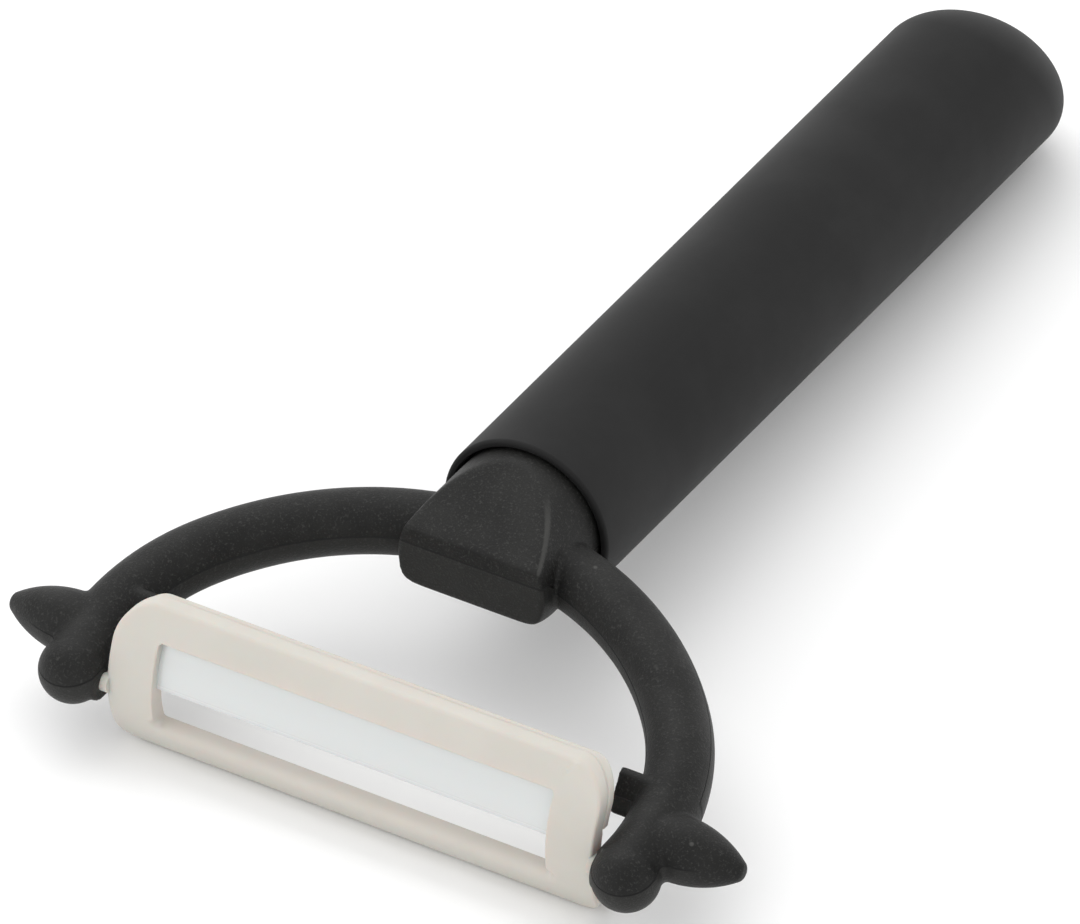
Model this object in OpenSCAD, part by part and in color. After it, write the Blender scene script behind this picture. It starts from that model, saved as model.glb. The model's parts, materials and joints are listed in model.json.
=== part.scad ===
// Y-shaped vegetable peeler: a moulded yoke plugged into a hollow handle, with a
// ceramic blade in a curved carrier that swings between the yoke's two ball ends.
// X runs along the blade, +Y towards the handle's rounded end and +Z up. The origin
// is below the middle of the peeler, on the surface that it lies on.

/* [Handle] */
// Length of the handle, from its mouth to its rounded end
handle_len = 115.4; // [98:0.2:120]
// Outside diameter of the handle at its mouth
mouth_d = 20.8; // [20.6:0.1:21]
// Outside diameter of the handle where its rounded end begins
end_d = 22; // [21.2:0.1:23]
// Radius of the corner of the rounded end
end_corner_r = 10.4; // [8:0.1:10.5]
// Radius of the shallow dome in the middle of the rounded end
end_dome_r = 14.7; // [13:0.1:20]
// Slant of the rounded end, whose lower side reaches further back, in degrees
end_slant = 27; // [0:1:28]
// Radius of the bore that holds the yoke's tang
bore_r = 7.4; // [7:0.1:7.8]
// Depth of the wider recess in the mouth, round the yoke's neck
recess_depth = 3; // [2:0.5:5]
// Distance from the pivot axis back to the handle's mouth
mouth_reach = 37.2; // [36.6:0.1:38]
// Height of the handle's axis above the pivot axis
handle_rise = 10.2; // [9.6:0.1:10.8]

/* [Yoke] */
// Diameter of the bow's round section, above the parting line
bow_d = 7.3; // [6.8:0.1:7.4]
// Step by which everything below the parting line stands proud
parting_step = 0.2; // [0.1:0.05:0.3]
// Distance between the centres of the two ball ends
ball_span = 69.2; // [69:0.1:70]
// Diameter of the ball ends
ball_d = 7.5; // [7.4:0.1:8]
// Distance of the ball centres in front of the pivot axis
ball_lead = 0.6; // [0.4:0.1:0.8]
// Height of the ball centres above the pivot axis
ball_lift = 0.4; // [0.2:0.1:0.8]
// Slope of the bow's plane against the handle's axis, in degrees
bow_slope = 16.5; // [15:0.5:17]
// Depth of the bow in its own plane, from the ball centres to its crown
bow_depth = 34.7; // [34:0.1:35.2]
// Radius of the bow's two shoulders
shoulder_r = 24; // [22:0.5:24.5]
// Distance of the shoulders' centres behind the ball centres
shoulder_back = 5.5; // [5:0.5:6.5]
// Distance of each arm's centre line inside its ball centre
arm_inset = 0.5; // [0.2:0.1:0.6]
// Diameter of the neck that stands in the handle's mouth
neck_d = 18.4; // [18:0.1:18.8]
// Distance from the pivot axis back to the neck's flat front face
nose_reach = 25.3; // [25:0.1:26]
// Height of the front face above the handle's axis
nose_top = 3.6; // [3.4:0.1:4.4]
// Depth of the front face below the handle's axis
nose_drop = 3.6; // [3.4:0.1:4.4]
// Slope of the flats above and below the front face, in degrees
nose_slope = 29; // [28:1:34]
// Length of the eye removers, from the ball centres' line to their tips
ear_len = 11.3; // [10.6:0.1:12]
// Diameter of the eye removers at their root
ear_d = 7.4; // [6.6:0.1:7.6]
// Distance of the eye removers behind the ball centres, along the bow
ear_back = 5.6; // [5:0.1:6]

/* [Blade carrier] */
// Length of the carrier along the blade
carrier_len = 60.6; // [59.6:0.2:61]
// Radius of the carrier's curved front face
face_r = 13.8; // [13:0.2:15]
// Distance of the front face ahead of the pivot axis, where it bulges most
face_lead = 0.55; // [0.4:0.05:0.8]
// Height of that bulge above the pivot axis
face_lift = 0.3; // [0:0.1:0.8]
// Height of the carrier above the pivot axis
carrier_top = 9.9; // [9.6:0.1:10.2]
// Depth of the carrier below the pivot axis
carrier_drop = 8.5; // [8:0.1:8.8]
// Wall thickness of the frame below the blade
frame_wall = 2.2; // [1.8:0.1:2.4]
// Length of the window that the blade shows through
window_len = 49.2; // [46:0.2:50]
// Height of the window's upper edge above the pivot axis
window_top = 6.7; // [6.4:0.1:7]
// Depth of the window's lower edge below the pivot axis
window_drop = 3.7; // [3.5:0.1:4]
// Diameter of the trunnions that the carrier swings on
trunnion_d = 2.4; // [2:0.1:2.8]

/* [Blade] */
// Length of the ceramic blade, with the ends that the frame hides
blade_len = 54; // [52:0.5:55]
// Thickness of the ceramic blade
blade_t = 0.9; // [0.7:0.05:1]
// Height of the cutting edge above the pivot axis
edge_height = 0.9; // [0.6:0.1:1.2]
// Width of the bevel ground on the back of the cutting edge
bevel_w = 1.6; // [1:0.1:2]

/* [Hidden] */
$fn = 96;

black = "#2c2c2c";
soft_black = "#272727";
ivory = "#d9d3c8";
ceramic_white = "#eef1f3";

// How far pieces of one solid reach into each other, and cuts run past a face
overlap = 0.3;

// Gaps round the trunnions, between tang and bore, and between neck and recess
run_gap = 0.05;
tang_gap = 0.05;
neck_gap = 0.35;

// Handle: corner circle, and the dome circle that the corner circle touches inside
mouth_r = mouth_d / 2;
end_r = end_d / 2;
lip_r = 0.45;
corner_at = end_r - end_corner_r;
dome_back = sqrt(pow(end_dome_r - end_corner_r, 2) - pow(corner_at, 2));
straight_len = handle_len - end_dome_r + dome_back;
dome_touch = corner_at * end_dome_r / (end_dome_r - end_corner_r);
recess_r = neck_d / 2 + neck_gap;
slant_run = end_r * tan(end_slant);
cap_lap = 2;
cap_from = straight_len - 2 * (slant_run + cap_lap);
core_to = cap_from + slant_run + cap_lap;
cap_step = 0.03;
bore_len = cap_from - bore_r - cap_lap;

// Bow: a crown arc between two shoulder arcs that run on from it. They are a hair
// thinner and reach a little way inside its ends.
bow_r = bow_d / 2;
ball_at = ball_span / 2;
arm_at = ball_at - arm_inset;
shoulder_x = arm_at - sqrt(pow(shoulder_r, 2) - pow(shoulder_back, 2));
crown_less = bow_depth - shoulder_r;
crown_front = (pow(shoulder_x, 2) + pow(shoulder_back, 2) - pow(crown_less, 2)) / (2 * (crown_less - shoulder_back));
crown_r = bow_depth + crown_front;
crown_half = atan2(shoulder_x, shoulder_back + crown_front);
arm_angle = atan2(-shoulder_back, arm_at - shoulder_x);
arm_step = 0.03;
arm_lap = 2;

// Parting line: along the bow's plane, level on the nose, then down to the neck's level
parting_rise = handle_rise + 0.3;
nose_parting = handle_rise + 1.6;
line_level = 1;
line_fall = 2;
nose_corner = 4;
below_all = 20;

// Round pad and flat on the inner side of each ball end, with the trunnion's socket
pad_d = 5;
pad_back = 4.4;
pad_face = 31;
socket_depth = 3.4;
socket_lead = 1;
trunnion_play = 0.4;

// Eye removers: their sides are one arc from the root to the small flat tip
ear_tip_r = 0.8;
ear_bulge = 3;

// Lug on the inner side of each arm, which the carrier swings against
lug = [5, 3.8, 3.8];
lug_face = 28.6;
lug_back = 7.1;
lug_low = -0.5;

// Tang: a plug behind the neck, then a cross of ribs with round discs, inside the bore
tang_len = 68;
plug_len = 8;
rib_t = 2.4;
rib_step = 1;
disc_t = 2.4;
discs = 2;

// Carrier: corners of its outline, depths behind its front face, and the rear clamp
upper_corner = 4.2;
lower_corner = 2.6;
lip_t = 1.1;
seat_depth = lip_t + blade_t;
clamp_t = 1.2;
clamp_low = 3.3;
clamp_top = carrier_top - 0.9;
blade_top = 8.7;
edge_t = 0.15;

// The whole peeler lies on the carrier's lower edge and the handle's rounded end
drop_y = face_r - face_lead - sqrt(pow(face_r - frame_wall, 2) - pow(carrier_drop + face_lift, 2));
lie_slope = atan2(handle_rise - end_r + carrier_drop, mouth_reach + straight_len + slant_run - drop_y);
front_y = ball_lift * sin(lie_slope) - ball_lead * cos(lie_slope) - ball_d / 2 - parting_step;
dome_reach = end_dome_r * sqrt(1 + pow(tan(end_slant) - tan(lie_slope), 2));
back_y = (mouth_reach + straight_len - dome_back + dome_reach) * cos(lie_slope) + handle_rise * sin(lie_slope);
pivot_y = -(front_y + back_y) / 2;
pivot_z = drop_y * sin(lie_slope) + carrier_drop * cos(lie_slope);

// Lays a piece, drawn from the pivot axis with the handle level, on the surface
module lie() {
    translate([0, pivot_y, pivot_z]) rotate([-lie_slope, 0, 0]) children();
}

// Both sides of a shape drawn at +X
module both_sides() {
    children();
    mirror([1, 0, 0]) children();
}

// A section drawn in Y and Z, carried along X
module along_x(from, to) {
    translate([from, 0, 0]) rotate([90, 0, 90]) linear_extrude(to - from) children();
}

// A shape whose Z axis becomes the handle's axis, from the mouth towards the rounded end
module on_handle_axis() {
    translate([0, mouth_reach, handle_rise]) rotate([-90, 0, 0]) children();
}

// The plane of the bow, from between the ball centres
module in_bow_plane() {
    translate([0, -ball_lead, ball_lift]) rotate([bow_slope, 0, 0]) children();
}

// Bow with its ball ends, grown all round by a step
module bow(grow) {
    in_bow_plane() {
        translate([0, -crown_front, 0]) rotate([0, 0, 90 - crown_half])
            rotate_extrude(angle = 2 * crown_half) translate([crown_r, 0]) circle(r = bow_r + grow);
        both_sides() translate([shoulder_x, shoulder_back, 0]) rotate([0, 0, arm_angle])
            rotate_extrude(angle = 90 - crown_half + arm_lap - arm_angle)
                translate([shoulder_r, 0]) circle(r = bow_r + grow - arm_step);
        both_sides() translate([ball_at, 0, 0]) sphere(r = ball_d / 2 + grow);
    }
}

// Everything below the parting line
module below_parting() {
    rise = tan(bow_slope);
    arms_end = nose_reach - line_level;
    along_x(-ball_span, ball_span) polygon([
        [-below_all, ball_lift - (below_all - ball_lead) * rise],
        [arms_end, ball_lift + (arms_end + ball_lead) * rise],
        [nose_reach - parting_step, nose_parting],
        [nose_reach + line_level, nose_parting],
        [nose_reach + line_level + line_fall, parting_rise],
        [mouth_reach + below_all, parting_rise],
        [mouth_reach + below_all, -below_all],
        [-below_all, -below_all]
    ]);
}

module pivot_pads() {
    both_sides() translate([pad_face, 0, 0]) {
        rotate([0, 90, 0]) cylinder(d = pad_d, h = ball_at - pad_face);
        translate([0, 0, -pad_d / 2]) cube([ball_at - pad_face, pad_back, pad_d]);
    }
}

module sockets() {
    both_sides() translate([pad_face - socket_lead, 0, 0]) rotate([0, 90, 0])
        cylinder(d = trunnion_d + 2 * run_gap, h = socket_depth + socket_lead);
}

module ear() {
    rise = ear_d / 2 - ear_tip_r;
    run = ear_len - ear_bulge;
    side_r = (pow(run, 2) + pow(rise, 2)) / (2 * rise);
    rotate([0, 90, 0]) rotate_extrude() intersection() {
        translate([ear_d / 2 - side_r, ear_bulge]) circle(r = side_r);
        square([ear_d / 2, ear_len]);
    }
}

module ears() {
    in_bow_plane() both_sides() translate([ball_at, ear_back, 0]) ear();
}

module stop_lugs() {
    in_bow_plane() both_sides() translate([lug_face, lug_back, lug_low]) cube(lug);
}

// Neck, cut by the front face, by a flat above it and by a flat with round corners below it
module neck(grow) {
    neck_r = neck_d / 2;
    front = nose_reach - grow;
    foot = mouth_reach + recess_depth;
    run_up = (neck_r - nose_top) / tan(nose_slope);
    intersection() {
        on_handle_axis() translate([0, 0, front - mouth_reach]) cylinder(r = neck_r, h = foot - front);
        translate([0, 0, handle_rise]) along_x(-neck_d, neck_d) polygon([
            [front, nose_top],
            [nose_reach + run_up, neck_r],
            [foot, neck_r],
            [foot, -neck_d],
            [front, -neck_d]
        ]);
        translate([0, front, handle_rise - nose_drop]) rotate([-nose_slope, 0, 0])
            translate([0, -neck_r, 0]) rotate([-90, 0, 0]) linear_extrude(2 * neck_d) nose_outline();
    }
}

// Outline that rounds the lower corners of the front face, drawn downwards
module nose_outline() {
    neck_r = neck_d / 2;
    both_sides() {
        translate([0, -neck_d]) square([neck_r, neck_d - nose_corner]);
        translate([0, -neck_d]) square([neck_r - nose_corner, neck_d]);
        translate([neck_r - nose_corner, -nose_corner]) circle(r = nose_corner);
    }
}

module tang() {
    tang_r = bore_r - tang_gap;
    rib_w = 2 * (tang_r - rib_step);
    disc_pitch = (tang_len - plug_len) / (discs + 0.5);
    on_handle_axis() translate([0, 0, recess_depth]) {
        cylinder(r = tang_r, h = plug_len);
        for (turn = [0, 90]) rotate([0, 0, turn]) translate([-rib_w / 2, -rib_t / 2, 0])
            cube([rib_w, rib_t, tang_len]);
        for (k = [1 : discs]) translate([0, 0, plug_len + k * disc_pitch]) cylinder(r = tang_r, h = disc_t);
    }
}

module yoke() {
    color(black) lie() difference() {
        union() {
            bow(0);
            neck(0);
            intersection() {
                union() {
                    bow(parting_step);
                    neck(parting_step);
                }
                below_parting();
            }
            pivot_pads();
            ears();
            stop_lugs();
            tang();
        }
        sockets();
    }
}

// Half section of the handle's straight part: radius across, distance from the mouth up.
// It widens as far as the rounded end, and runs on a hair thinner inside that.
module core_section() {
    core_r = end_r - cap_step;
    difference() {
        union() {
            polygon([
                [0, lip_r],
                [mouth_r, lip_r],
                [core_r, cap_from - slant_run],
                [core_r, core_to],
                [0, core_to]
            ]);
            square([mouth_r - lip_r, lip_r]);
            translate([mouth_r - lip_r, lip_r]) circle(r = lip_r);
        }
        translate([0, -overlap]) square([recess_r, recess_depth + overlap]);
        square([bore_r, bore_len]);
        translate([0, bore_len]) circle(r = bore_r);
    }
}

// Half section of the rounded end: a shallow dome with a round corner on a straight collar
module cap_section() {
    intersection() {
        union() {
            translate([0, cap_from]) square([end_r, straight_len - cap_from]);
            translate([corner_at, straight_len]) circle(r = end_corner_r);
            intersection() {
                translate([0, straight_len - dome_back]) circle(r = end_dome_r);
                square([dome_touch, handle_len]);
            }
        }
        translate([0, cap_from]) square([end_d, handle_len]);
    }
}

// Slides each point of a shape along Z by its own Y, which slants an end and leaves the sides
module slant(angle) {
    multmatrix([[1, 0, 0, 0], [0, 1, 0, 0], [0, tan(angle), 1, 0], [0, 0, 0, 1]]) children();
}

module handle() {
    color(soft_black) lie() on_handle_axis() {
        rotate_extrude() intersection() {
            core_section();
            square([end_d, handle_len]);
        }
        slant(end_slant) rotate_extrude() cap_section();
    }
}

// A band of the carrier's curved wall, between two depths behind its front face. The
// carrier's outline then cuts it to length and height.
module wall_band(near, far, low, high) {
    intersection() {
        translate([face_r - face_lead, face_lift]) difference() {
            circle(r = face_r - near);
            circle(r = face_r - far);
        }
        translate([-face_lead - overlap, low]) square([face_r, high - low]);
    }
}

// The carrier's outline seen from the front
module carrier_outline() {
    half = carrier_len / 2;
    side = carrier_drop + carrier_top - lower_corner - upper_corner;
    both_sides() {
        translate([0, -carrier_drop]) square([half - lower_corner, carrier_drop]);
        translate([0, lower_corner - carrier_drop]) square([half, side]);
        square([half - upper_corner, carrier_top]);
        translate([half - lower_corner, lower_corner - carrier_drop]) circle(r = lower_corner);
        translate([half - upper_corner, carrier_top - upper_corner]) circle(r = upper_corner);
    }
}

module inside_outline() {
    intersection() {
        children();
        rotate([90, 0, 0]) linear_extrude(2 * face_r, center = true) carrier_outline();
    }
}

module window(low) {
    translate([-window_len / 2, -face_r, low]) cube([window_len, 2 * face_r, window_top - low]);
}

module trunnions() {
    from = carrier_len / 2 - overlap;
    both_sides() translate([from, 0, 0]) rotate([0, 90, 0])
        cylinder(d = trunnion_d, h = pad_face + socket_depth - trunnion_play - from);
}

module carrier_frame() {
    color(ivory) lie() {
        inside_outline() difference() {
            along_x(-carrier_len, carrier_len) union() {
                wall_band(0, frame_wall, -face_r, clamp_low);
                wall_band(0, seat_depth, clamp_low - lip_t, face_r);
            }
            along_x(-blade_len / 2, blade_len / 2) wall_band(lip_t, face_r, edge_height, blade_top);
            window(-window_drop);
        }
        trunnions();
    }
}

module carrier_clamp() {
    color(ivory) lie() inside_outline() difference() {
        along_x(-carrier_len, carrier_len)
            wall_band(seat_depth, seat_depth + clamp_t, clamp_low, clamp_top);
        window(0);
    }
}

// Blade: a curved strip with a bevel on the back of its lower edge
module blade() {
    edge_y = face_r - face_lead - sqrt(pow(face_r - lip_t, 2) - pow(edge_height - face_lift, 2));
    color(ceramic_white) lie() along_x(-blade_len / 2, blade_len / 2) difference() {
        wall_band(lip_t, seat_depth, edge_height, blade_top);
        polygon([
            [edge_y + edge_t, edge_height],
            [edge_y + 2 * blade_t, edge_height + 2 * bevel_w],
            [edge_y + 2 * blade_t, edge_height - overlap],
            [edge_y + edge_t, edge_height - overlap]
        ]);
    }
}

yoke();
handle();
carrier_frame();
carrier_clamp();
blade();
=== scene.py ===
"""Looks of a Y-shaped vegetable peeler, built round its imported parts.

Each piece is worked out from the pivot axis with the handle level, in metres: X along the
blade, Y towards the handle's rounded end, Z up. It is then laid on the surface with the rest.
"""

import json

import bpy
import numpy as np
from bpy.props import FloatProperty, FloatVectorProperty, IntProperty, PointerProperty
from bpy.types import Operator, Panel, PropertyGroup
from mathutils import Matrix, Vector


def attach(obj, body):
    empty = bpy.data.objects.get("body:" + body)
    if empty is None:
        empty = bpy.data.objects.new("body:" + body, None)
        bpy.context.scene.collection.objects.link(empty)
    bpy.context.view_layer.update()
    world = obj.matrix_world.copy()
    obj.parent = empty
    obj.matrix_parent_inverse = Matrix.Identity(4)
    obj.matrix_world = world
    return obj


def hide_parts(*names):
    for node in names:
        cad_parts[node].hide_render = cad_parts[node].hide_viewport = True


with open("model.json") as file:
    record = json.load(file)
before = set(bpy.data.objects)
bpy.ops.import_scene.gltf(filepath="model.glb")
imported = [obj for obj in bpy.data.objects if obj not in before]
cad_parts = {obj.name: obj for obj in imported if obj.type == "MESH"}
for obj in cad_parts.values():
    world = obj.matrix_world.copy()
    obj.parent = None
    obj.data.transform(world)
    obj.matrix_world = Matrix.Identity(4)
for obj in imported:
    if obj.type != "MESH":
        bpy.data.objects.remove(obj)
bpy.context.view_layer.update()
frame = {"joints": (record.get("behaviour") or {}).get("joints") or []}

bl_info = {
    "name": "Vegetable Peeler",
    "version": (1, 0, 0),
    "blender": (4, 5, 0),
    "location": "View3D > Sidebar > Peeler",
    "description": "Builds the pieces, finishes and stage of a Y-shaped vegetable peeler",
    "category": "Add Mesh",
}

MM = 0.001
PIVOT = np.array(frame["joints"][0]["pos_m"], float)


# ---------------------------------------------------------------- sizes and colours

def length(name, text, mm, low=0.0, high=200.0):
    """A length in metres, from a value in millimetres."""
    return FloatProperty(name=name, description=text, default=mm * MM, min=low * MM,
                         max=high * MM, unit="LENGTH", precision=5)


def angle(name, text, degrees, low=-180.0, high=180.0):
    """An angle, from a value in degrees."""
    return FloatProperty(name=name, description=text, default=float(np.radians(degrees)),
                         min=float(np.radians(low)), max=float(np.radians(high)),
                         unit="ROTATION")


def colour(name, text, value):
    """A linear colour."""
    return FloatVectorProperty(name=name, description=text, default=value, size=3, min=0.0,
                               max=1.0, subtype="COLOR")


def share(name, text, value, high=1.0):
    """A plain number from nought up."""
    return FloatProperty(name=name, description=text, default=value, min=0.0, max=high)


class PeelerHandle(PropertyGroup):
    """Sizes of the round handle."""
    reach: length("Mouth reach", "Distance from the pivot axis back to the mouth", 37.2)
    rise: length("Axis height", "Height of the handle's axis above the pivot axis", 10.2)
    mouth_radius: length("Mouth radius", "Outside radius at the mouth", 10.4)
    end_radius: length("End radius", "Outside radius where the rounded end begins", 11.0)
    straight: length("Straight length", "Distance from the mouth to the rounded end", 104.958)
    corner: length("Corner radius", "Radius of the corner of the rounded end", 10.4)
    dome: length("Dome radius", "Radius of the shallow dome in the middle of the end", 14.7)
    slant: angle("End slant", "Slant of the rounded end", 27.0, 0, 30)
    lip: length("Lip radius", "Radius of the mouth's outer edge", 0.45)
    recess_radius: length("Recess radius", "Radius of the recess round the neck", 9.55)
    recess: length("Recess depth", "Depth of the recess round the neck", 3.0)
    bore: length("Bore radius", "Radius of the bore for the tang", 7.4)
    bore_length: length("Bore length", "Length of the bore's straight part", 80.3)
    lie: angle("Lie", "Slope of the handle's axis against the surface under it", 3.10231, 0, 10)


class PeelerYoke(PropertyGroup):
    """Sizes of the moulded yoke."""
    bow_radius: length("Bow radius", "Radius of the bow's round section", 3.72)
    crown_radius: length("Crown radius", "Radius of the bow's crown", 37.6884)
    crown_front: length("Crown centre", "Crown's centre ahead of the ball centres", 2.98845)
    shoulder_radius: length("Shoulder radius", "Radius of the bow's shoulders", 24.0)
    shoulder_x: length("Shoulder centre X", "Shoulder's centre from the middle", 10.7387)
    shoulder_back: length("Shoulder centre Y", "Shoulder's centre behind the ball centres", 5.5)
    slope: angle("Bow slope", "Slope of the bow's plane against the handle's axis", 16.5, 0, 40)
    ball_at: length("Ball centre", "Distance of each ball centre from the middle", 34.6)
    ball_radius: length("Ball radius", "Radius of the ball ends", 3.82)
    ball_lead: length("Ball lead", "Distance of the ball centres ahead of the pivot axis", 0.6)
    ball_lift: length("Ball lift", "Height of the ball centres above the pivot axis", 0.4)
    neck_radius: length("Neck radius", "Radius of the round neck", 9.2)
    nose_reach: length("Nose reach", "From the pivot axis back to the nose's flat front", 25.3)
    nose_top: length("Nose top", "Height of the front face above the handle's axis", 3.6)
    nose_drop: length("Nose drop", "Depth of the front face below the handle's axis", 3.6)
    nose_slope: angle("Nose slope", "Slope of the flats above and below the front face", 29.0,
                      0, 60)
    ear_length: length("Ear length", "Length of the eye removers", 11.3)
    ear_radius: length("Ear radius", "Radius of the eye removers at their widest", 3.7)
    ear_back: length("Ear place", "Distance of the eye removers behind the ball centres", 5.6)
    parting: length("Parting height", "Parting line above the bow's middle plane", 1.35)
    nose_parting: length("Nose parting", "Parting line above the handle's axis on the nose", 1.6)
    voxel: length("Blend voxel", "Voxel that the yoke's forms are merged at", 0.26, 0.1, 2.0)
    blend: IntProperty(name="Blend steps", description="Smoothing steps that soften the merged "
                       "forms", default=2, min=0, max=60)


class PeelerCarrier(PropertyGroup):
    """Sizes of the blade carrier and the blade."""
    half: length("Half length", "Half of the carrier's length along the blade", 30.3)
    face_radius: length("Face radius", "Radius of the curved front face", 13.8)
    face_lead: length("Face lead", "Distance of the front face ahead of the pivot axis", 0.55)
    face_lift: length("Face lift", "Height of the face's bulge above the pivot axis", 0.3)
    top: length("Top", "Height of the carrier above the pivot axis", 9.9)
    drop: length("Drop", "Depth of the carrier below the pivot axis", 8.5)
    upper_corner: length("Upper corner", "Radius of the outline's upper corners", 4.2)
    lower_corner: length("Lower corner", "Radius of the outline's lower corners", 2.6)
    wall: length("Wall", "Wall thickness below the blade", 2.2)
    seat: length("Seat", "Depth of the clamp behind the front face", 2.0)
    lip: length("Lip", "Thickness of the frame in front of the blade", 1.1)
    window_half: length("Window half length", "Half of the window's length", 24.6)
    window_top: length("Window top", "Height of the window above the pivot axis", 6.7)
    window_drop: length("Window drop", "Depth of the window below the pivot axis", 3.7)
    window_corner: length("Window corner", "Radius of the window's corners", 0.4)
    clamp: length("Clamp thickness", "Thickness of the rear clamp", 1.2)
    clamp_low: length("Clamp foot", "Height of the clamp's feet above the pivot axis", 3.3)
    clamp_top: length("Clamp top", "Height of the clamp above the pivot axis", 9.0)
    clamp_corner: length("Clamp corner", "Radius of the clamp's upper corners", 3.8)
    edge_round: length("Edge round", "Radius of the frame's outer front edge", 0.3, 0.05, 1.0)
    rear_round: length("Rear round", "Radius of the frame's upper rear edge", 1.0, 0.05, 1.5)
    sill_round: length("Sill round", "Radius of the window's lower edge", 1.85, 0.05, 2.0)
    trunnion: length("Trunnion radius", "Radius of the trunnions", 1.2)
    trunnion_end: length("Trunnion end", "Distance of the trunnions' ends from the middle", 34.0)
    blade_half: length("Blade half length", "Half of the blade's length", 27.0)
    blade_top: length("Blade top", "Height of the blade's hidden upper edge", 8.7)
    edge_height: length("Cutting edge", "Height of the cutting edge above the pivot axis", 0.9)
    bevel: length("Bevel", "Width of the bevel ground on the cutting edge", 1.6)


class PeelerFinish(PropertyGroup):
    """Colours and finishes."""
    black: colour("Yoke black", "Matt black moulding", (0.0058, 0.0058, 0.0054))
    black_pale: colour("Yoke worn black", "Black where the grain is rubbed",
                       (0.0135, 0.0135, 0.0125))
    # Painted bounce light: the black below the parting line is paler, as if lit from the pale
    # floor.
    black_painted_bounce: colour("Lower black", "Black below the parting line", (0.021, 0.021, 0.0195))
    black_grain: colour("Grain black", "Paler tips of the grain", (0.036, 0.036, 0.034))
    black_line: colour("Line black", "Black in the parting line", (0.002, 0.002, 0.002))
    # Painted highlight: paler black along the rubbed +X edge of the nose's flat, on top of the
    # wear there.
    black_edge_highlight: colour("Edge black", "Rubbed edge of the nose's flat", (0.055, 0.055, 0.052))
    speck: colour("Speck", "Pale specks on the black moulding", (0.10, 0.10, 0.095))
    soft: colour("Handle black", "Soft-touch black", (0.0058, 0.0058, 0.0059))
    soft_pale: colour("Handle bloom", "Paler bloom on the handle", (0.0105, 0.0105, 0.0106))
    ivory: colour("Ivory", "Ivory moulding", (0.550, 0.530, 0.483))
    ivory_deep: colour("Deep ivory", "Darker patches of the ivory", (0.470, 0.446, 0.393))
    ceramic: colour("Ceramic", "White zirconia", (0.590, 0.610, 0.605))
    ceramic_deep: colour("Ground ceramic", "Darker ground edge", (0.540, 0.563, 0.570))
    floor: colour("Floor", "Pale floor", (0.94, 0.94, 0.94))
    floor_deep: colour("Floor mottle", "Darker mottle of the floor", (0.90, 0.90, 0.895))
    grain: length("Grain size", "Size of the matt moulding's grain", 0.34, 0.02, 5)


class PeelerView(PropertyGroup):
    """The camera and the lights."""
    azimuth: angle("Azimuth", "Turn of the camera about the upright axis", 30.0635)
    elevation: angle("Elevation", "Height angle of the camera", 37.958)
    distance: length("Distance", "From the camera to the reference point", 935.194, 10, 5000)
    focal: length("Focal length", "Focal length on a 36 mm wide sensor", 290.882, 10, 2000)
    right: length("Shift right", "Camera's distance right of the reference point", 20.847)
    up: length("Shift up", "Camera's distance above the reference point", 33.176)
    key: share("Key light", "Power of the large light, high at the back left, in watts", 2.9, 1000)
    fill: share("Fill light", "Power of the light at the front left, in watts", 1.2, 1000)
    rim: share("Back light", "Power of the light at the back right, in watts", 0.9, 1000)
    sky: share("Surround", "Strength of the pale surround", 1.04, 10)


# ---------------------------------------------------------------- surfaces

def laid(points):
    """Lays points drawn with the handle level: a turn about X by the lie, then a shift to the
    pivot."""
    lie = bpy.context.scene.peeler_handle.lie
    x, y, z = np.moveaxis(points, -1, 0)
    c, s = np.cos(lie), np.sin(lie)
    return np.stack([x, y * c + z * s, z * c - y * s], -1) + PIVOT


def on_bow(points):
    """Turns points drawn in the bow's plane up by the bow's slope, from between the balls."""
    yoke = bpy.context.scene.peeler_yoke
    x, y, z = np.moveaxis(points, -1, 0)
    c, s = np.cos(yoke.slope), np.sin(yoke.slope)
    return np.stack([x, y * c - z * s - yoke.ball_lead, y * s + z * c + yoke.ball_lift], -1)


def volume(verts, faces):
    """Signed volume of a closed mesh of quads: a sixth of the sum of a . (b x c) over its
    triangles."""
    a, b, c, d = (verts[faces[:, k]] for k in range(4))
    sixfold = np.einsum("ij,ij->i", a, np.cross(b, c)) + np.einsum("ij,ij->i", a, np.cross(c, d))
    return sixfold.sum() / 6


def closed_grid(grid, along=False):
    """Vertices and faces of a grid of points whose rows close on themselves. The first and last
    row meet where along is true; otherwise each of these two is closed with a fan from its own
    middle. The faces are turned outwards by the sign of the volume."""
    rows, cols = grid.shape[:2]
    index = np.arange(rows * cols).reshape(rows, cols)
    right = np.roll(index, -1, 1)
    if along:
        quads = np.stack([index, right, np.roll(right, -1, 0), np.roll(index, -1, 0)], -1)
    else:
        quads = np.stack([index[:-1], right[:-1], right[1:], index[1:]], -1)
    verts, faces = grid.reshape(-1, 3), [quads.reshape(-1, 4)]
    if not along:
        for row, flip in ((0, True), (rows - 1, False)):
            centre = np.full(cols, len(verts))
            verts = np.vstack([verts, grid[row].mean(0)])
            ring, following = index[row], right[row]
            fan = [following, ring] if flip else [ring, following]
            faces.append(np.stack([*fan, centre, centre], -1))
    faces = np.vstack(faces)
    if volume(verts, faces) < 0:
        faces = faces[:, ::-1]
    return verts, faces


def block_surface(low, high, place):
    """A plain block between two corners, as a grid of four upright edges by two levels, put in
    place by the given function."""
    (x0, y0, z0), (x1, y1, z1) = low, high
    loop = np.array([(x0, y0), (x1, y0), (x1, y1), (x0, y1)])
    levels = [np.column_stack([loop, np.full(4, z)]) for z in (z0, z1)]
    return closed_grid(place(np.stack(levels)))


def turned(radius, height, steps):
    """A surface of revolution about Z: each profile point (radius, height) carried round a
    circle."""
    turn = np.linspace(0, 2 * np.pi, steps, endpoint=False)
    return np.stack([np.outer(radius, np.cos(turn)), np.outer(radius, np.sin(turn)),
                     np.outer(height, np.ones(steps))], -1)


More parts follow.
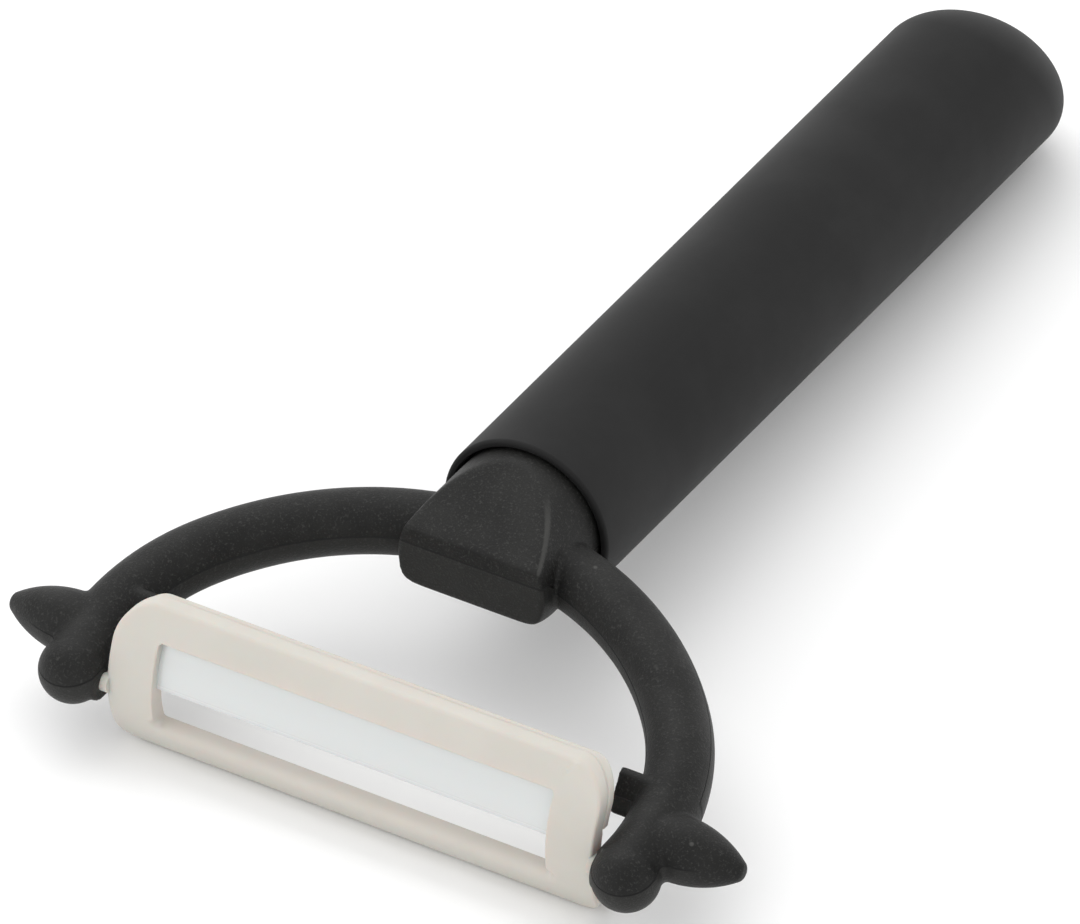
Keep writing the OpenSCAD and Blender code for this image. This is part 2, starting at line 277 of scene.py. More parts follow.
def along_x(form, side):
    """Tips a surface of revolution about Z over, so that its axis runs along X to one side."""
    return np.stack([side * form[..., 2], form[..., 0], form[..., 1]], -1)


def smooth_step(value):
    """Nought up to nought and one from one on, with a smooth run between: v v (3 - 2 v)."""
    value = np.clip(value, 0, 1)
    return value * value * (3 - 2 * value)


def joined(parts):
    """Several vertex and face arrays as one."""
    verts, faces, start = [], [], 0
    for v, f in parts:
        verts.append(v)
        faces.append(f + start)
        start += len(v)
    return np.vstack(verts), np.vstack(faces)


def new_piece(name, verts, faces, sharp=50.0):
    """An object at the origin from arrays in metres, smooth but for edges sharper than the angle
    in degrees. A face whose first or last two corners are one becomes a triangle."""
    mesh = bpy.data.meshes.new(name)
    rows = [row[:3] if row[2] == row[3] else row for row in faces.tolist()]
    rows = [row[1:] if row[0] == row[1] else row for row in rows]
    mesh.from_pydata(verts.tolist(), [], rows)
    mesh.validate()
    mesh.update()
    mesh.shade_smooth()
    mesh.set_sharp_from_angle(angle=float(np.radians(sharp)))
    piece = bpy.data.objects.new(name, mesh)
    bpy.context.scene.collection.objects.link(piece)
    return piece


def merged(verts, faces, voxel, steps):
    """One skin of quads round several closed forms: a voxel remesh, then smoothing steps that
    soften the places where the forms meet."""
    form = new_piece("form", verts, faces)
    remesh = form.modifiers.new("Merge", "REMESH")
    remesh.mode, remesh.voxel_size = "VOXEL", voxel
    soften = form.modifiers.new("Soften", "SMOOTH")
    soften.factor, soften.iterations = 0.5, steps
    graph = bpy.context.evaluated_depsgraph_get()
    graph.update()
    skin = bpy.data.meshes.new_from_object(form.evaluated_get(graph))
    verts = np.empty(len(skin.vertices) * 3)
    skin.vertices.foreach_get("co", verts)
    corners = np.empty(len(skin.loops), dtype=np.int32)
    skin.loops.foreach_get("vertex_index", corners)
    spare = form.data
    bpy.data.objects.remove(form)
    for mesh in (spare, skin):
        bpy.data.meshes.remove(mesh)
    return verts.reshape(-1, 3), corners.reshape(-1, 4)


# ---------------------------------------------------------------- shader groups

def node_group(name, inputs, outputs):
    """An empty shader group with named sockets, and its first and last node."""
    group = bpy.data.node_groups.new(name, "ShaderNodeTree")
    for label, kind, value in inputs:
        socket = group.interface.new_socket(label, in_out="INPUT", socket_type=kind)
        if value is not None:
            socket.default_value = value
    for label in outputs:
        group.interface.new_socket(label, in_out="OUTPUT", socket_type="NodeSocketFloat")
    return group, group.nodes.new("NodeGroupInput"), group.nodes.new("NodeGroupOutput")


class Wires:
    """Places nodes in a tree and joins them."""

    def __init__(self, tree):
        self.tree = tree

    def node(self, kind, **values):
        made = self.tree.nodes.new(kind)
        for key, value in values.items():
            setattr(made, key, value)
        return made

    def join(self, source, target):
        self.tree.links.new(source, target)

    def feed(self, target, value):
        if isinstance(value, bpy.types.NodeSocket):
            self.join(value, target)
        else:
            target.default_value = value

    def math(self, operation, *values):
        made = self.node("ShaderNodeMath", operation=operation)
        for socket, value in zip(made.inputs, values):
            self.feed(socket, value)
        return made.outputs[0]

    def times(self, first, second):
        return self.math("MULTIPLY", first, second)

    def minus(self, first, second):
        return self.math("SUBTRACT", first, second)

    def scaled(self, value, factor, plus):
        """The value times the factor, plus the last."""
        return self.math("MULTIPLY_ADD", value, factor, plus)

    def apart(self, first, second):
        """The distance between two values."""
        return self.math("ABSOLUTE", self.minus(first, second))

    def step(self, value, low, high):
        """Nought at low and one at high, with a smooth run between. Low may be the larger."""
        made = self.node("ShaderNodeMapRange", interpolation_type="SMOOTHSTEP")
        self.feed(made.inputs["Value"], value)
        made.inputs["From Min"].default_value = low
        made.inputs["From Max"].default_value = high
        return made.outputs["Result"]

    def noise(self, vector, scale, detail, rough):
        made = self.node("ShaderNodeTexNoise")
        self.join(vector, made.inputs["Vector"])
        self.feed(made.inputs["Scale"], scale)
        made.inputs["Detail"].default_value = detail
        made.inputs["Roughness"].default_value = rough
        return made.outputs["Fac"]

    def mapped(self, vector, kind, **values):
        """The vector through a Mapping node."""
        made = self.node("ShaderNodeMapping", vector_type=kind)
        for key, value in values.items():
            made.inputs[key].default_value = value
        self.join(vector, made.inputs["Vector"])
        return made.outputs["Vector"]

    def level(self, vector):
        """The point turned back until the handle is level and measured from the pivot, and its
        X, Y and Z."""
        lie = bpy.context.scene.peeler_handle.lie
        point = self.mapped(vector, "TEXTURE", Location=PIVOT, Rotation=(-lie, 0, 0))
        split = self.node("ShaderNodeSeparateXYZ")
        self.join(point, split.inputs["Vector"])
        return point, *split.outputs

    def blend(self, factor, first, second):
        made = self.node("ShaderNodeMix", data_type="RGBA")
        self.feed(made.inputs["Factor"], factor)
        self.feed(made.inputs["A"], first)
        self.feed(made.inputs["B"], second)
        return made.outputs["Result"]

    def layers(self, base, rows):
        """The base colour with each row's colour laid over it by its mask times its weight."""
        tone = (*base, 1.0)
        for mask, weight, over in rows:
            tone = self.blend(self.times(mask, weight), tone, (*over, 1.0))
        return tone


def grain_group():
    """Matt moulding grain: rounded cells under fine noise, a slow blotch and a few pale specks.
    The scale is the grain's; the fine noise, the blotch and the specks have shares of it."""
    if "Moulding Grain" in bpy.data.node_groups:
        return bpy.data.node_groups["Moulding Grain"]
    fine_scale, blotch_scale, speck_scale = 1.7, 0.045, 0.16
    cell_height, cell_smoothness = 0.3, 0.6
    blotch_edge, speck_edge, speck_choice = (0.35, 0.68), (0.05, 0.16), (0.96, 0.97)
    group, start, end = node_group(
        "Moulding Grain",
        [("Vector", "NodeSocketVector", None), ("Scale", "NodeSocketFloat", 3500.0)],
        ["Height", "Blotch", "Speck"])
    place, scale = start.outputs["Vector"], start.outputs["Scale"]
    w = Wires(group)
    cells = w.node("ShaderNodeTexVoronoi", feature="SMOOTH_F1")
    w.join(place, cells.inputs["Vector"])
    w.join(scale, cells.inputs["Scale"])
    cells.inputs["Smoothness"].default_value = cell_smoothness
    fine = w.noise(place, w.times(scale, fine_scale), 3.0, 0.6)
    w.join(w.scaled(cells.outputs["Distance"], cell_height, fine), end.inputs["Height"])
    slow = w.noise(place, w.times(scale, blotch_scale), 3.0, 0.55)
    w.join(w.step(slow, *blotch_edge), end.inputs["Blotch"])
    specks = w.node("ShaderNodeTexVoronoi", feature="F1")
    w.join(place, specks.inputs["Vector"])
    w.join(w.times(scale, speck_scale), specks.inputs["Scale"])
    near = w.minus(1.0, w.step(specks.outputs["Distance"], *speck_edge))
    pick = w.node("ShaderNodeSeparateColor")
    w.join(specks.outputs["Color"], pick.inputs["Color"])
    rare = w.step(pick.outputs["Red"], *speck_choice)
    w.join(w.times(near, rare), end.inputs["Speck"])
    return group


def parting_group():
    """Parting line of the yoke, on the point turned back until the handle is level. The line
    runs along the bow's plane on the arms and level through the nose, where it falls a little
    behind the front face, and it leaves the eye removers out. Step is one below the line and
    nought above it; it carries the step's bump and the painted bounce light below the line. Line
    is one on the line itself, and Edge is one on the rubbed +X edge of the nose's upper flat,
    where a painted highlight lies over the wear."""
    scene = bpy.context.scene
    handle, yoke = scene.peeler_handle, scene.peeler_yoke
    group, start, end = node_group("Parting Line", [("Vector", "NodeSocketVector", None)],
                                   ["Step", "Line", "Edge"])
    w = Wires(group)
    _, x, y, z = w.level(start.outputs["Vector"])
    aside = w.math("ABSOLUTE", x)

    raised = yoke.ball_lift + yoke.parting / np.cos(yoke.slope)
    arm_line = w.scaled(w.math("ADD", y, yoke.ball_lead), float(np.tan(yoke.slope)),
                        float(raised))
    fall_start, fall_end, fall = 1.0 * MM, 3.0 * MM, 1.3 * MM
    behind = w.step(y, yoke.nose_reach + fall_start, yoke.nose_reach + fall_end)
    nose_line = w.scaled(behind, -fall, handle.rise + yoke.nose_parting)
    nose_margin, nose_lead = 0.1 * MM, 0.6 * MM
    on_nose = w.times(w.math("LESS_THAN", aside, yoke.neck_radius + nose_margin),
                      w.math("GREATER_THAN", y, yoke.nose_reach - nose_lead))
    both = w.node("ShaderNodeMix", data_type="FLOAT")
    w.join(on_nose, both.inputs["Factor"])
    w.join(w.minus(arm_line, z), both.inputs["A"])
    w.join(w.minus(nose_line, z), both.inputs["B"])
    below = both.outputs["Result"]

    ear_fade, ear_start, ear_whole = 0.7 * MM, 1.4 * MM, 2.2 * MM
    ear = w.times(w.step(w.apart(y, yoke.ear_back), yoke.ear_radius + ear_fade, yoke.ear_radius),
                  w.step(aside, yoke.ball_at + ear_start, yoke.ball_at + ear_whole))
    off_ear = w.minus(1.0, ear)
    step_half, line_half, line_end = 0.1 * MM, 0.05 * MM, 0.18 * MM
    w.join(w.times(off_ear, w.step(below, -step_half, step_half)), end.inputs["Step"])
    line = w.minus(1.0, w.step(w.math("ABSOLUTE", below), line_half, line_end))
    w.join(w.times(off_ear, line), end.inputs["Line"])

    # Edge mask: the +X rim of the nose's upper flat, where a painted highlight lies over rubbed
    # wear.
    flat_edge, rim_edge, right_share = (0.15 * MM, 0.5 * MM), (0.14 * MM, 0.34 * MM), (0.45, 0.75)
    over = w.minus(z, handle.rise + yoke.nose_top)
    back = w.minus(y, yoke.nose_reach)
    off_flat = w.minus(w.times(over, float(np.cos(yoke.nose_slope))),
                       w.times(back, float(np.sin(yoke.nose_slope))))
    flat = w.minus(1.0, w.step(w.math("ABSOLUTE", off_flat), *flat_edge))
    high = w.minus(z, handle.rise)
    from_axis = w.math("SQRT", w.math("ADD", w.times(x, x), w.times(high, high)))
    rim = w.minus(1.0, w.step(w.apart(from_axis, yoke.neck_radius), *rim_edge))
    right = w.step(x, *(yoke.neck_radius * part for part in right_share))
    w.join(w.times(flat, w.times(rim, right)), end.inputs["Edge"])
    return group


def wear_group():
    """Soft mask of handling: broad noise cut to patches, and fine streaks drawn out along the
    handle."""
    if "Handling Wear" in bpy.data.node_groups:
        return bpy.data.node_groups["Handling Wear"]
    streak_scale, drawn_out = 9.0, (1.0, 0.08, 1.0)
    patch_edge, streak_edge = (0.38, 0.70), (0.45, 0.75)
    group, start, end = node_group(
        "Handling Wear",
        [("Vector", "NodeSocketVector", None), ("Scale", "NodeSocketFloat", 60.0)],
        ["Patches", "Streaks"])
    place, scale = start.outputs["Vector"], start.outputs["Scale"]
    w = Wires(group)
    broad = w.noise(place, scale, 4.0, 0.6)
    w.join(w.step(broad, *patch_edge), end.inputs["Patches"])
    drawn = w.mapped(place, "POINT", Scale=drawn_out)
    lines = w.noise(drawn, w.times(scale, streak_scale), 3.0, 0.6)
    w.join(w.step(lines, *streak_edge), end.inputs["Streaks"])
    return group


def place_group(w, group, vector, scale=None):
    """A group's outputs in a material's tree, fed with its coordinates."""
    made = w.node("ShaderNodeGroup")
    made.node_tree = group
    w.join(vector, made.inputs["Vector"])
    if scale is not None:
        made.inputs["Scale"].default_value = scale
    return made.outputs


# ---------------------------------------------------------------- finishes

def new_material(name, **constants):
    """A material with a Principled shader whose plain values are set on its own sockets."""
    material = bpy.data.materials.new(name)
    material.use_nodes = True
    w = Wires(material.node_tree)
    shader = material.node_tree.nodes["Principled BSDF"]
    for socket, value in constants.items():
        shader.inputs[socket.replace("_", " ")].default_value = value
    place = w.node("ShaderNodeTexCoord").outputs["Object"]
    return material, w, shader, place


def bump(w, shader, height, distance, under=None):
    """A bump: the height times the distance in metres, on top of an earlier one where there is
    one."""
    made = w.node("ShaderNodeBump")
    made.inputs["Strength"].default_value = 1.0
    made.inputs["Distance"].default_value = distance
    w.join(height, made.inputs["Height"])
    if under is not None:
        w.join(under, made.inputs["Normal"])
    w.join(made.outputs["Normal"], shader.inputs["Normal"])
    return made.outputs["Normal"]


def black_moulding():
    """Matt black moulding: grain, slightly paler rubbed patches, pale specks and the parting line,
    with a paler black below the line that is painted bounce light from the floor, and a painted
    highlight over the rubbed +X edge of the nose's flat. Blotches and the rubbed edge are smoother
    than the rest, the grain's tips rougher. Each layer of the colour is a mask, its weight and its
    colour."""
    finish = bpy.context.scene.peeler_finish
    rough, blotch_rough, edge_rough, tip_rough = 0.49, -0.07, -0.15, 0.08
    grain_depth, parting_depth = 0.060 * MM, 0.14 * MM
    material, w, shader, place = new_material("Black Moulding", Specular_IOR_Level=0.22)
    grain = place_group(w, grain_group(), place, 1.0 / finish.grain)
    parting = place_group(w, parting_group(), place)
    tips = w.step(grain["Height"], 0.66, 0.90)
    tone = w.layers(finish.black, ((grain["Blotch"], 0.6, finish.black_pale),
                                   # Painted bounce light below the parting line.
                                   (parting["Step"], 0.6, finish.black_painted_bounce),
                                   (tips, 0.8, finish.black_grain),
                                   (parting["Line"], 0.8, finish.black_line),
                                   # Painted highlight over the rubbed edge of the nose's flat.
                                   (parting["Edge"], 0.7, finish.black_edge_highlight),
                                   (grain["Speck"], 0.5, finish.speck)))
    w.join(tone, shader.inputs["Base Color"])
    rough = w.scaled(grain["Blotch"], blotch_rough, rough)
    rough = w.scaled(parting["Edge"], edge_rough, rough)
    w.join(w.scaled(grain["Height"], tip_rough, rough), shader.inputs["Roughness"])
    first = bump(w, shader, grain["Height"], grain_depth)
    bump(w, shader, parting["Step"], parting_depth, first)
    return material


def soft_touch():
    """Soft-touch coat: very matt, with a fine tooth, a faint bloom and a few streaks."""
    finish = bpy.context.scene.peeler_finish
    finer, wear_scale, patch_tone, streak_tone = 1.4, 45.0, 0.6, 0.15
    rough, patch_rough, tooth_depth = 0.68, -0.05, 0.008 * MM
    material, w, shader, place = new_material("Soft Touch Black", Specular_IOR_Level=0.21,
                                              Sheen_Weight=0.03, Sheen_Roughness=0.5)
    grain = place_group(w, grain_group(), place, finer / finish.grain)
    wear = place_group(w, wear_group(), place, wear_scale)
    mask = w.scaled(wear["Patches"], patch_tone, w.times(wear["Streaks"], streak_tone))
    w.join(w.blend(mask, (*finish.soft, 1.0), (*finish.soft_pale, 1.0)),
           shader.inputs["Base Color"])
    w.join(w.scaled(wear["Patches"], patch_rough, rough), shader.inputs["Roughness"])
    bump(w, shader, grain["Height"], tooth_depth)
    return material


def ivory_moulding():
    """Satin ivory moulding: a slow variation of tone and a fine grain."""
    finish = bpy.context.scene.peeler_finish
    finer, wear_scale, patch_tone, blotch_tone = 1.2, 70.0, 0.18, 0.10
    rough, blotch_rough, grain_depth = 0.40, 0.07, 0.006 * MM
    material, w, shader, place = new_material("Ivory Moulding", Specular_IOR_Level=0.45,
                                              Subsurface_Weight=0.25, Subsurface_Scale=0.003)
    grain = place_group(w, grain_group(), place, finer / finish.grain)
    wear = place_group(w, wear_group(), place, wear_scale)
    mask = w.scaled(wear["Patches"], patch_tone, w.times(grain["Blotch"], blotch_tone))
    w.join(w.blend(mask, (*finish.ivory, 1.0), (*finish.ivory_deep, 1.0)),
           shader.inputs["Base Color"])
    w.join(w.scaled(grain["Blotch"], blotch_rough, rough), shader.inputs["Roughness"])
    bump(w, shader, grain["Height"], grain_depth)
    return material


def white_ceramic():
    """Polished zirconia: nearly even white, with fine grinding lines across the cutting edge,
    where the surface is rougher."""
    scene = bpy.context.scene
    finish, edge = scene.peeler_finish, scene.peeler_carrier.edge_height
    ground_start, ground_end = 0.3 * MM, 0.7 * MM
    line_scale, drawn_out, line_tone, ground_tone = 5200.0, (1.0, 0.05, 0.05), 0.6, 0.35
    rough, ground_rough, line_depth = 0.22, 0.16, 0.010 * MM
    material, w, shader, place = new_material("White Ceramic", Specular_IOR_Level=0.6, IOR=1.8,
                                              Subsurface_Weight=0.1, Subsurface_Scale=0.001)
    point, _, _, z = w.level(place)
    ground = w.minus(1.0, w.step(z, edge + ground_start, edge + ground_end))
    lines = w.noise(w.mapped(point, "POINT", Scale=drawn_out), line_scale, 2.0, 0.5)
    mask = w.times(ground, w.scaled(lines, line_tone, ground_tone))
    w.join(w.blend(mask, (*finish.ceramic, 1.0), (*finish.ceramic_deep, 1.0)),
           shader.inputs["Base Color"])
    w.join(w.scaled(ground, ground_rough, rough), shader.inputs["Roughness"])
    bump(w, shader, w.times(lines, ground), line_depth)
    return material


def pale_floor():
    """Pale floor with a barely seen mottle."""
    finish = bpy.context.scene.peeler_finish
    mottle_scale, mottle_tone, rough, mottle_rough = 9.0, 0.12, 0.7, 0.1
    material, w, shader, place = new_material("Pale Floor", Specular_IOR_Level=0.2)
    mottle = w.noise(place, mottle_scale, 3.0, 0.5)
    w.join(w.layers(finish.floor, ((mottle, mottle_tone, finish.floor_deep),)),
           shader.inputs["Base Color"])
    w.join(w.scaled(mottle, mottle_rough, rough), shader.inputs["Roughness"])
    return material


def dress(piece, material, body, node):
    """Gives a piece its material, says which body it rides on, and hides the solid it stands
    for."""
    piece.data.materials.clear()
    piece.data.materials.append(material)
    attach(piece, body)
    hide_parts(node)


# ---------------------------------------------------------------- yoke

def bow_surface():
    """The bow: a circle carried along a crown arc and the two shoulder arcs that run on from it.
    A point is the centre line's point plus the radius times (cosine x outward normal + sine x
    the plane's normal)."""
    yoke = bpy.context.scene.peeler_yoke
    steps, sides = 120, 64
    half = np.arctan2(yoke.shoulder_x, yoke.shoulder_back + yoke.crown_front)
    foot = -np.arcsin(yoke.shoulder_back / yoke.shoulder_radius)
    turn = np.linspace(foot, np.pi / 2 - half, steps)
    over = np.linspace(np.pi / 2 - half, np.pi / 2, steps)[1:]
    shoulder = np.stack([yoke.shoulder_x + yoke.shoulder_radius * np.cos(turn),
                         yoke.shoulder_back + yoke.shoulder_radius * np.sin(turn)], -1)
    crown = np.stack([yoke.crown_radius * np.cos(over),
                      yoke.crown_radius * np.sin(over) - yoke.crown_front], -1)
    line, bearing = np.vstack([shoulder, crown]), np.concatenate([turn, over])
    line = np.vstack([line, (line * [-1, 1])[-2::-1]])
    bearing = np.concatenate([bearing, np.pi - bearing[-2::-1]])
    out = np.stack([np.cos(bearing), np.sin(bearing)], -1)
    section = np.linspace(0, 2 * np.pi, sides, endpoint=False)
    flat = line[:, None] + yoke.bow_radius * np.cos(section)[:, None] * out[:, None]
    lift = np.broadcast_to(yoke.bow_radius * np.sin(section), flat.shape[:2])
    return closed_grid(laid(on_bow(np.dstack([flat, lift]))))


def ball_surface(side):
    """A ball end: a half circle turned about an upright axis."""
    yoke = bpy.context.scene.peeler_yoke
    steps, sides = 49, 72
    rise = np.linspace(-np.pi / 2, np.pi / 2, steps)
    ball = turned(yoke.ball_radius * np.cos(rise), yoke.ball_radius * np.sin(rise), sides)
    return closed_grid(laid(on_bow(ball + [side * yoke.ball_at, 0, 0])))


def ear_surface(side):
    """An eye remover: its side is one arc from the root past the widest place to a small tip,
    closed by a quarter of an ellipse, turned about an axis along X."""
    yoke = bpy.context.scene.peeler_yoke
    widest, tip, blunt = 3.0 * MM, 0.8 * MM, 0.6
    steps, cap_steps, sides = 90, 10, 72
    cap = tip * blunt
    run, rise = yoke.ear_length - widest, yoke.ear_radius - tip
    arc = (run ** 2 + rise ** 2) / (2 * rise)
    reach = np.linspace(0, yoke.ear_length - cap, steps)
    radius = yoke.ear_radius - arc + np.sqrt(arc ** 2 - (reach - widest) ** 2)
    close = np.linspace(0, np.pi / 2, cap_steps)[1:-1]
    reach = np.concatenate([reach, reach[-1] + cap * np.sin(close)])
    radius = np.concatenate([radius, radius[-1] * np.cos(close)])
    form = along_x(turned(radius, reach, sides), side)
    return closed_grid(laid(on_bow(form + [side * yoke.ball_at, yoke.ear_back, 0])))


def neck_surface():
    """Neck and nose as one rounded solid. Along each ray from an inner point, the distance to the
    round side, the front face, the slopes above and below it, and the foot are combined with a
    soft minimum: the minus p-th root of the sum of their minus p-th powers. A higher p gives a
    tighter edge; the lower slope meets the round side with a looser one."""
    scene = bpy.context.scene
    yoke, handle = scene.peeler_yoke, scene.peeler_handle
    inward, under = 6.5 * MM, 0.5 * MM
    far, tiny = 1.0, 1e-6
    tight, loose = 90.0, 13.0
    steps, sides = 200, 320
    centre = np.array([0, yoke.nose_reach + inward, handle.rise - under])
    across = np.linspace(0, np.pi, steps)[:, None]
    around = np.linspace(0, 2 * np.pi, sides, endpoint=False)[None, :]
    ray = np.stack([np.sin(across) * np.cos(around), -np.cos(across) * np.ones_like(around),
                    np.sin(across) * np.sin(around)], -1)

    def plane(normal, point):
        """Distance along each ray to a plane, or far away where the ray runs from it."""
        normal = np.array(normal) / np.linalg.norm(normal)
        gap = float(normal @ (np.array(point) - centre))
        facing = ray @ normal
        return np.where(facing > tiny, gap / np.maximum(facing, tiny), far)

    slope_c, slope_s = np.cos(yoke.nose_slope), np.sin(yoke.nose_slope)
    low = handle.rise - centre[2]
    a = ray[..., 0] ** 2 + ray[..., 2] ** 2
    b = -low * ray[..., 2]
    side = (-b + np.sqrt(b ** 2 + a * (yoke.neck_radius ** 2 - low ** 2))) / np.maximum(a, tiny)
    side = np.where(a > tiny, side, far)
    front = plane((0, -1, 0), (0, yoke.nose_reach, 0))
    above = plane((0, -slope_s, slope_c), (0, yoke.nose_reach, handle.rise + yoke.nose_top))
    below = plane((0, -slope_s, -slope_c), (0, yoke.nose_reach, handle.rise - yoke.nose_drop))
    foot = plane((0, 1, 0), (0, handle.reach + handle.recess, 0))
    lower = (side ** -loose + below ** -loose) ** (-1 / loose)
    lower = np.where(ray[..., 2] < 0, lower, np.minimum(side, below))
    reach = sum(part ** -tight for part in (lower, front, above, foot)) ** (-1 / tight)
    return closed_grid(laid(centre + ray * reach[..., None]))


def lug_surface(side):
    """A stop lug: a block along X with its upper front edge cut away to one slope, in the bow's
    plane."""
    front, crest, back = 7.1 * MM, 10.0 * MM, 10.9 * MM
    low, lip, high = -0.5 * MM, 0.1 * MM, 3.3 * MM
    inner, outer = 28.6 * MM, 33.6 * MM
    form = np.array([(front, low), (back, low), (back, high), (crest, high), (front, lip)])
    ends = [np.column_stack([np.full(len(form), side * x), form]) for x in (inner, outer)]
    return closed_grid(laid(on_bow(np.stack(ends))))


def socket_surfaces(side):
    """The pad round a trunnion's socket: a short cylinder along X, and a block behind it that
    carries it to the bow."""
    yoke = bpy.context.scene.peeler_yoke
    radius, inner, outer, back = 2.5 * MM, 31.0 * MM, 35.0 * MM, 4.4 * MM
    pad = turned(np.full(2, radius), np.array([inner, outer]), steps=48)
    low_x, high_x = sorted((side * inner, side * yoke.ball_at))
    return [closed_grid(laid(along_x(pad, side))),
            block_surface((low_x, 0, -radius), (high_x, back, radius), laid)]


def yoke_surfaces():
    """Bow, neck, ball ends, eye removers, socket pads and stop lugs, each a closed surface."""
    parts = [bow_surface(), neck_surface()]
    for side in (-1, 1):
        parts += [ball_surface(side), ear_surface(side), *socket_surfaces(side),
                  lug_surface(side)]
    return joined(parts)


def tang_surface():
    """The tang inside the handle: a plug, two discs and two crossed ribs, on the handle's
    axis."""
    handle = bpy.context.scene.peeler_handle
    start = handle.reach + handle.recess

    def on_axis(grid):
        """Z of the grid becomes the handle's axis."""
        return laid(np.stack([grid[..., 0], start + grid[..., 2], handle.rise + grid[..., 1]],
                             -1))

    clearance, shoulder = 0.05 * MM, 1.0 * MM
    plug, first_disc, last_disc = (0, 8), (32, 34.4), (56, 58.4)
    thin, end = 1.2 * MM, 68 * MM
    radius = handle.bore - clearance
    wide = radius - shoulder
    parts = [closed_grid(on_axis(turned(np.full(2, radius), np.array(ends) * MM, steps=96)))
             for ends in (plug, first_disc, last_disc)]
    for half_x, half_y in ((wide, thin), (thin, wide)):
        parts.append(block_surface((-half_x, -half_y, 0), (half_x, half_y, end), on_axis))
    return joined(parts)


# ---------------------------------------------------------------- handle

def handle_surface():
    """The handle: a profile turned about its axis, from the middle of the rounded end along the
    outside to the mouth, then down the recess and the bore. In the rounded end each point slides
    along the axis by its own height times the slant's tangent."""
    handle = bpy.context.scene.peeler_handle
    dome_steps, corner_steps, side_steps, lip_steps, bore_steps = 40, 48, 90, 12, 12
    off_axis, off_bore_axis, inner_lip = 0.002, 0.02, 0.15 * MM
    inset = handle.end_radius - handle.corner
    back = np.sqrt((handle.dome - handle.corner) ** 2 - inset ** 2)
    touch = np.arctan2(back, inset)
    dome = np.linspace(np.pi / 2 - off_axis, touch, dome_steps)
    corner = np.linspace(touch, 0, corner_steps)[1:]
    edge = np.linspace(0, -np.pi / 2, lip_steps)[1:]
    outer = [
        (handle.dome * np.cos(dome), handle.straight - back + handle.dome * np.sin(dome)),
        (inset + handle.corner * np.cos(corner),
         handle.straight + handle.corner * np.sin(corner)),
        (np.linspace(handle.end_radius, handle.mouth_radius, side_steps)[1:],
         np.linspace(handle.straight, handle.lip, side_steps)[1:]),
        (handle.mouth_radius - handle.lip + handle.lip * np.cos(edge),
         handle.lip + handle.lip * np.sin(edge)),
    ]
    turn_in = np.linspace(0, np.pi / 2, lip_steps // 2)
    ball = np.linspace(0, np.pi / 2 - off_bore_axis, bore_steps)[1:]
    inner = [
        (handle.recess_radius + inner_lip - inner_lip * np.sin(turn_in),
         inner_lip - inner_lip * np.cos(turn_in)),
        (np.array([handle.recess_radius, handle.recess_radius, handle.bore, handle.bore]),
         np.array([handle.recess * 0.5, handle.recess, handle.recess, handle.bore_length])),
        (handle.bore * np.cos(ball), handle.bore_length + handle.bore * np.sin(ball)),
    ]
    radius = np.concatenate([part[0] for part in outer + inner])
    along = np.concatenate([part[1] for part in outer + inner])
    outside = np.arange(len(radius)) < sum(len(part[0]) for part in outer)
    form = turned(radius, along, steps=160)
    slide_start, slide_run = 18 * MM, 14 * MM
    fade = smooth_step((along - handle.straight + slide_start) / slide_run * outside)
    slide = form[..., 2] + form[..., 1] * np.tan(-handle.slant) * fade[:, None]
    return closed_grid(laid(np.stack([form[..., 0], handle.reach + slide,
                                      handle.rise + form[..., 1]], -1)))


# ---------------------------------------------------------------- blade carrier

def wall(x, z, depth):
    """Points of the carrier's curved wall: height z and depth behind the front face, whose
    section is an arc."""
    carrier = bpy.context.scene.peeler_carrier
    across = np.sqrt((carrier.face_radius - depth) ** 2 - (z - carrier.face_lift) ** 2)
    return np.stack([x, carrier.face_radius - carrier.face_lead - across, z], -1)


def outline(half, low, high, low_corner, high_corner, inset):
    """A rounded rectangle in X and Z, drawn in by the inset, anticlockwise from the lower left
    side: four straight sides, each followed by its corner arc."""
    sides, bend = (70, 20), 14
    half, low, high = half - inset, low + inset, high - inset
    low_corner, high_corner = low_corner - inset, high_corner - inset
    spots = []
    corners = [(half, low, low_corner, -np.pi / 2), (half, high, high_corner, 0.0),
               (-half, high, high_corner, np.pi / 2), (-half, low, low_corner, np.pi)]
    previous = (-half + low_corner, low)
    for number, (x, z, radius, begin) in enumerate(corners):
        centre = np.array([x - np.sign(x) * radius, z - (radius if z == high else -radius)])
        turn = np.linspace(begin, begin + np.pi / 2, bend)
        arc = centre + radius * np.stack([np.cos(turn), np.sin(turn)], -1)
        part = np.linspace(0, 1, sides[number % 2], endpoint=False)[:, None]
        spots.append(np.array(previous) * (1 - part) + arc[0] * part)
        spots.append(arc)
        previous = arc[-1]
    return np.vstack(spots)


def arch(half, foot, high, corner, inset):
    """An arch in X and Z, drawn in by the inset: up the right leg, round the corner, over and
    down again."""
    legs, over, bend = 24, 90, 16
    half, high, corner = half - inset, high - inset, corner - inset
    turn = np.linspace(0, np.pi / 2, bend)
    up = np.stack([np.full(legs, half), np.linspace(foot, high - corner, legs)], -1)
    arc = np.stack([half - corner + corner * np.cos(turn),
                    high - corner + corner * np.sin(turn)], -1)
    right = np.vstack([up, arc[1:]])
    top = np.linspace(half - corner, corner - half, over)[1:-1]
    crest = np.stack([top, np.full(len(top), high)], -1)
    return np.vstack([right, crest, (right * [-1, 1])[::-1]])


